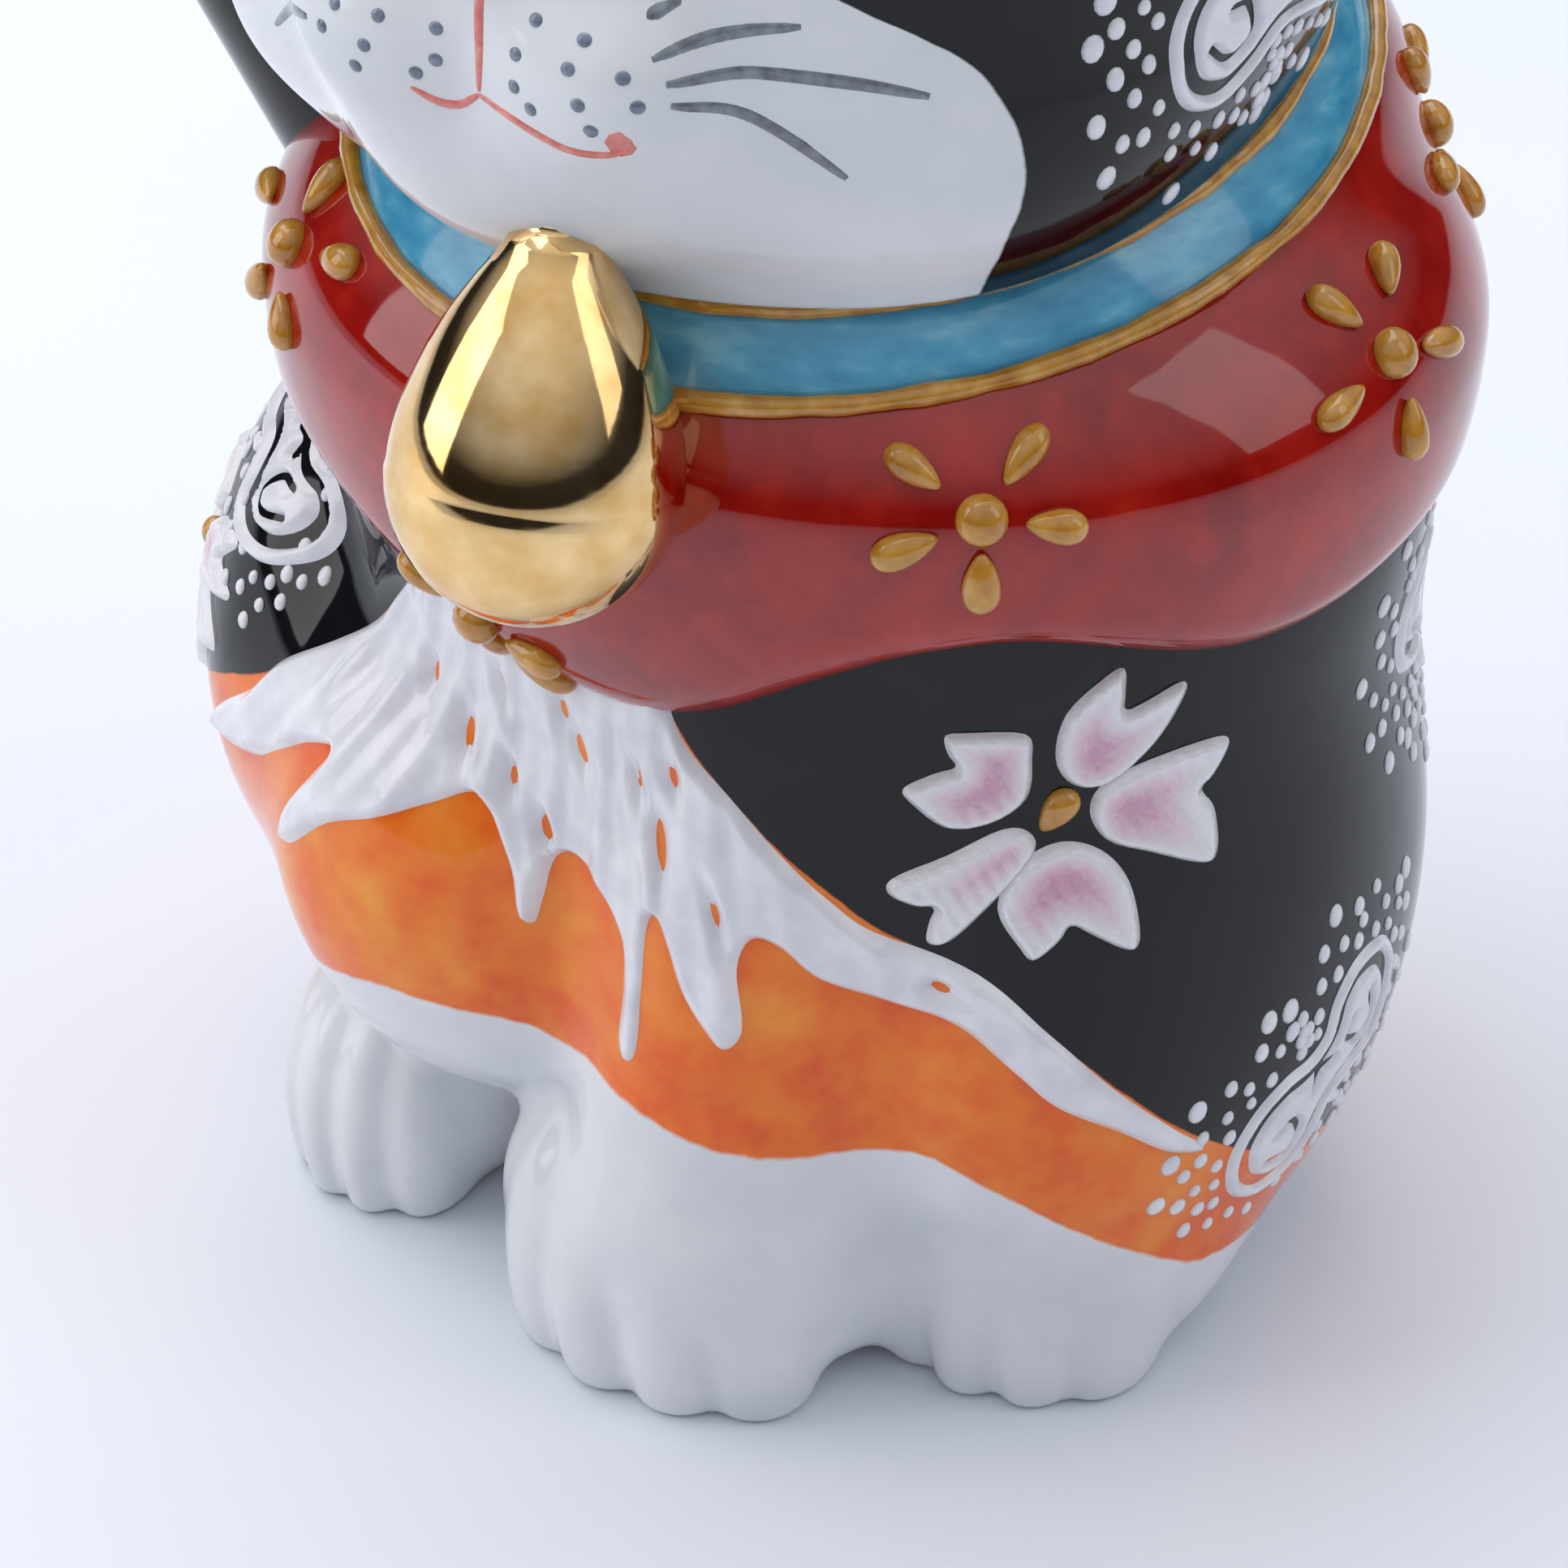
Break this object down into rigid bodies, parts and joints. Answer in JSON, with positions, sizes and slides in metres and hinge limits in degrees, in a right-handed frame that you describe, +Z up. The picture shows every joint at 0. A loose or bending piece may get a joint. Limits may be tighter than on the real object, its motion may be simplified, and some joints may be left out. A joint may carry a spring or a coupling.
{
  "type": "beckoning cat figurine",
  "caption": "Seated beckoning cat figurine in hollow glazed porcelain with a raised arm, red bib, blue collar, gold bell and raised enamel flowers.",
  "frame": {"origin": "centre of the flat underside, below the collar's axis", "axes": "+Z up, -Y the way the cat faces, +X the cat's left"},
  "size_m": [0.0984, 0.0875, 0.1474],
  "materials": {
    "black_glaze": "gloss",
    "white_glaze": "gloss",
    "red_glaze": "gloss",
    "blue_glaze": "gloss",
    "ochre_enamel": "gloss",
    "gold_lustre": "mirror gold lustre",
    "white_enamel": "satin",
    "pink_enamel": "gloss"
  },
  "bodies": {
    "root": {"bell": "gold_lustre", "bell_crown": "gold_lustre", "bib": "red_glaze", "bib_flower_a_bead_1": "ochre_enamel", "bib_flower_a_bead_2": "ochre_enamel", "bib_flower_a_bead_3": "ochre_enamel", "bib_flower_a_bead_4": "ochre_enamel", "bib_flower_a_bead_5": "ochre_enamel", "bib_flower_a_core": "ochre_enamel", "bib_flower_b_bead_1": "ochre_enamel", "bib_flower_b_bead_2": "ochre_enamel", "bib_flower_b_bead_3": "ochre_enamel", "bib_flower_b_bead_4": "ochre_enamel", "bib_flower_b_bead_5": "ochre_enamel", "bib_flower_b_core": "ochre_enamel", "bib_flower_c_bead_1": "ochre_enamel", "bib_flower_c_bead_2": "ochre_enamel", "bib_flower_c_bead_3": "ochre_enamel", "bib_flower_c_bead_4": "ochre_enamel", "bib_flower_c_bead_5": "ochre_enamel", "bib_flower_c_core": "ochre_enamel", "bib_flower_d_bead_1": "ochre_enamel", "bib_flower_d_bead_2": "ochre_enamel", "bib_flower_d_bead_3": "ochre_enamel", "bib_flower_d_bead_4": "ochre_enamel", "bib_flower_d_bead_5": "ochre_enamel", "bib_flower_d_core": "ochre_enamel", "bib_flower_e_bead_1": "ochre_enamel", "bib_flower_e_bead_2": "ochre_enamel", "bib_flower_e_bead_3": "ochre_enamel", "bib_flower_e_bead_4": "ochre_enamel", "bib_flower_e_bead_5": "ochre_enamel", "bib_flower_e_core": "ochre_enamel", "blossom_bead": "ochre_enamel", "blossom_petal_1": "pink_enamel", "blossom_petal_2": "pink_enamel", "blossom_petal_3": "pink_enamel", "blossom_petal_4": "pink_enamel", "blossom_petal_5": "pink_enamel", "collar_band": "blue_glaze", "collar_cord_lower": "ochre_enamel", "collar_cord_upper": "ochre_enamel", "ear_left": "black_glaze", "ear_right": "black_glaze", "foreleg_left": "black_glaze", "forepaw_left": "white_glaze", "head_shell": "white_glaze", "hind_foot_left": "white_glaze", "hind_foot_right": "white_glaze", "raised_arm": "black_glaze", "raised_paw": "white_glaze", "snow_drift_enamel": "white_enamel", "tail": "black_glaze", "torso_shell": "black_glaze"}
  },
  "joints": []
}
